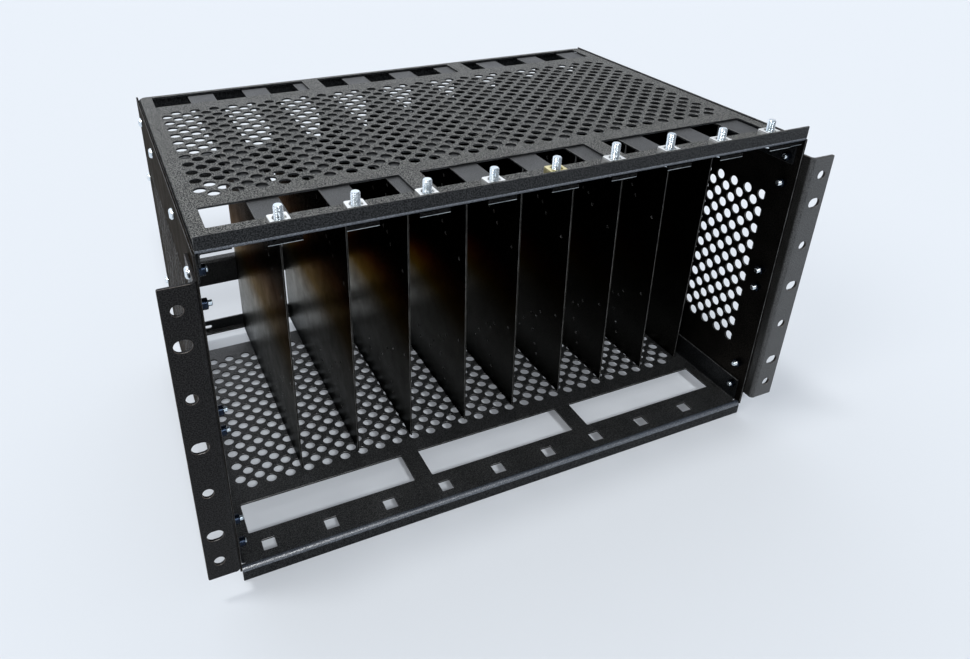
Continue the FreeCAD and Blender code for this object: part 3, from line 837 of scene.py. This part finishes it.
for s, side in ((1, "right"), (-1, "left")):
    m = Metal()
    for y, z in EAR_END_SCREWS + EAR_MIDDLE_SCREWS:
        button_screw(m, sideways(s, y, z), EAR_HEAD_X, EAR_SCREW_TIP_X)
    m.finish(f"ear_screw_set_{side}", [steel], [f"ear_screws_{side}"], "screw_steel", weighted=False)
    m = Metal()
    for y, z in SIDE_SCREWS + RAIL_SCREWS:
        button_screw(m, sideways(s, y, z), SIDE_HEAD_X, SIDE_SCREW_TIP_X)
    m.finish(f"side_screw_set_{side}", [steel], [f"side_screws_{side}"], "screw_steel", weighted=False)

    # Press nuts sit on the trays' side flanges, and on the side panel at the ears' middle screws.
    m = Metal()
    for y, z in EAR_END_SCREWS + EAR_MIDDLE_SCREWS + SIDE_SCREWS:
        back = PANEL_X if (y, z) in EAR_MIDDLE_SCREWS else PANEL_X - SHEET
        tip = back - PRESS_NUT_LENGTH
        profile = [(2.2, back), (3.5, back), (3.5, tip + 0.4), (3.1, tip), (2.6, tip), (2.2, tip + 0.4)]
        m.lathe(sideways(s, y, z), profile, 22, closed=True)
    m.finish(f"press_nut_set_{side}", [blue_zinc], [f"press_nuts_{side}"], "blue_zinc", weighted=False)


corner = Metal()
hem(corner, *CORNER_TAB_X, CORNER_TAB_FRONT)
corner_coats = [divider_coat, divider_edge, black_coat, rim_painted_highlight, hem_painted_shade]
corner.finish("corner_tab_hem", corner_coats, [], "black_sheet")


for name, material in (
    ("rear_rail_lower", rail_coat), ("rear_rail_upper", rail_coat), ("front_corner_tab", black_coat),
):
    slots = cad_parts[name].material_slots
    for k in range(len(slots)):
        slots[k].material = material


# Floor, light and camera.

PALE = (0.799, 0.839, 0.905)
FLOOR_TONE = (0.523, 0.550, 0.581)
FLOOR_GLOW = 0.18


def floor_material():
    """A matt floor with a faint glow of its own for the camera and for reflections."""
    n = Nodes("pale_floor")
    n.tree.nodes.remove(n.shader)
    diffuse = n.add("ShaderNodeBsdfDiffuse")
    diffuse.inputs["Color"].default_value = (*FLOOR_TONE, 1)
    glow = n.add("ShaderNodeEmission")
    glow.inputs["Color"].default_value = (*PALE, 1)
    path = n.add("ShaderNodeLightPath")
    seen = n.add("ShaderNodeMath", operation="ADD")
    n.join(path.outputs["Is Camera Ray"], seen.inputs[0])
    n.join(path.outputs["Is Glossy Ray"], seen.inputs[1])
    share = n.add("ShaderNodeMath", operation="MULTIPLY")
    n.join(seen.outputs[0], share.inputs[0])
    share.inputs[1].default_value = FLOOR_GLOW
    n.join(share.outputs[0], glow.inputs["Strength"])
    both = n.add("ShaderNodeAddShader")
    n.join(diffuse.outputs[0], both.inputs[0])
    n.join(glow.outputs[0], both.inputs[1])
    n.join(both.outputs[0], n.output.inputs["Surface"])
    return n.material


ground = bmesh.new()
bmesh.ops.create_grid(ground, x_segments=4, y_segments=4, size=14)
mesh = bpy.data.meshes.new("floor")
ground.to_mesh(mesh)
ground.free()
floor = bpy.data.objects.new("floor", mesh)
floor.location = (0, 0, -0.0003)
bpy.context.scene.collection.objects.link(floor)
mesh.materials.append(floor_material())
floor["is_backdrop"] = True

scene = bpy.context.scene
world = bpy.data.worlds.new("studio")
scene.world = world
world.use_nodes = True
sky = world.node_tree
background = sky.nodes["Background"]
background.inputs["Color"].default_value = (*PALE, 1)


def smooth_range(start, end):
    node = sky.nodes.new("ShaderNodeMapRange")
    node.interpolation_type = "SMOOTHSTEP"
    node.inputs["From Min"].default_value = start
    node.inputs["From Max"].default_value = end
    return node


# The studio is pale all round the horizon. Higher up it is brightest behind the cage and dim in front.
BRIGHT_SIDE = (-0.10, 0.90, 0.45)
HORIZON_LEVEL = 1.05
DIM_LEVEL, BRIGHT_LEVEL = 0.30, 1.50
around = sky.nodes.new("ShaderNodeTexCoord").outputs["Generated"]
aim = sky.nodes.new("ShaderNodeVectorMath")
aim.operation = "DOT_PRODUCT"
aim.inputs[1].default_value = Vector(BRIGHT_SIDE).normalized()
sky.links.new(around, aim.inputs[0])
level = smooth_range(0.35, 1.0)
level.inputs["To Min"].default_value = DIM_LEVEL
level.inputs["To Max"].default_value = BRIGHT_LEVEL
sky.links.new(aim.outputs["Value"], level.inputs["Value"])
split = sky.nodes.new("ShaderNodeSeparateXYZ")
sky.links.new(around, split.inputs["Vector"])
above = smooth_range(0.10, 0.40)
above.inputs["To Min"].default_value = HORIZON_LEVEL
sky.links.new(split.outputs["Z"], above.inputs["Value"])
sky.links.new(level.outputs["Result"], above.inputs["To Max"])
sky.links.new(above.outputs["Result"], background.inputs["Strength"])


def sun(name, towards, strength, angle, colour):
    """A broad soft lamp that lights the floor evenly."""
    data = bpy.data.lights.new(name, "SUN")
    data.energy = strength
    data.angle = math.radians(angle)
    data.color = colour
    lamp = bpy.data.objects.new(name, data)
    lamp.rotation_euler = Vector(towards).to_track_quat("-Z", "Y").to_euler()
    scene.collection.objects.link(lamp)


sun("key_lamp", (0.34, -0.09, -1.0), 0.9, 9, (1.0, 0.99, 0.97))
sun("left_lamp", (0.90, 0.20, -0.70), 0.7, 25, (1.0, 0.97, 0.93))
sun("front_lamp", (0.06, 0.74, -0.70), 1.9, 9, (0.96, 0.98, 1.0))

camera_data = bpy.data.cameras.new("camera")
camera_data.sensor_width = 36
camera_data.lens = 28.4124
camera_data.shift_x = 0.07008
camera_data.shift_y = -0.09431
camera_data.clip_start = 0.01
camera = bpy.data.objects.new("camera", camera_data)
camera.location = (-0.251684, -0.512580, 0.452553)
camera.rotation_euler = [math.radians(a) for a in (62.1045, -0.1770, -23.4224)]
scene.collection.objects.link(camera)
scene.camera = camera
scene.view_settings.view_transform = "Standard"

both = {"cad": cad_box, "visual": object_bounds()}
{k: [[float(c) for c in corner] for corner in v] for k, v in both.items()}
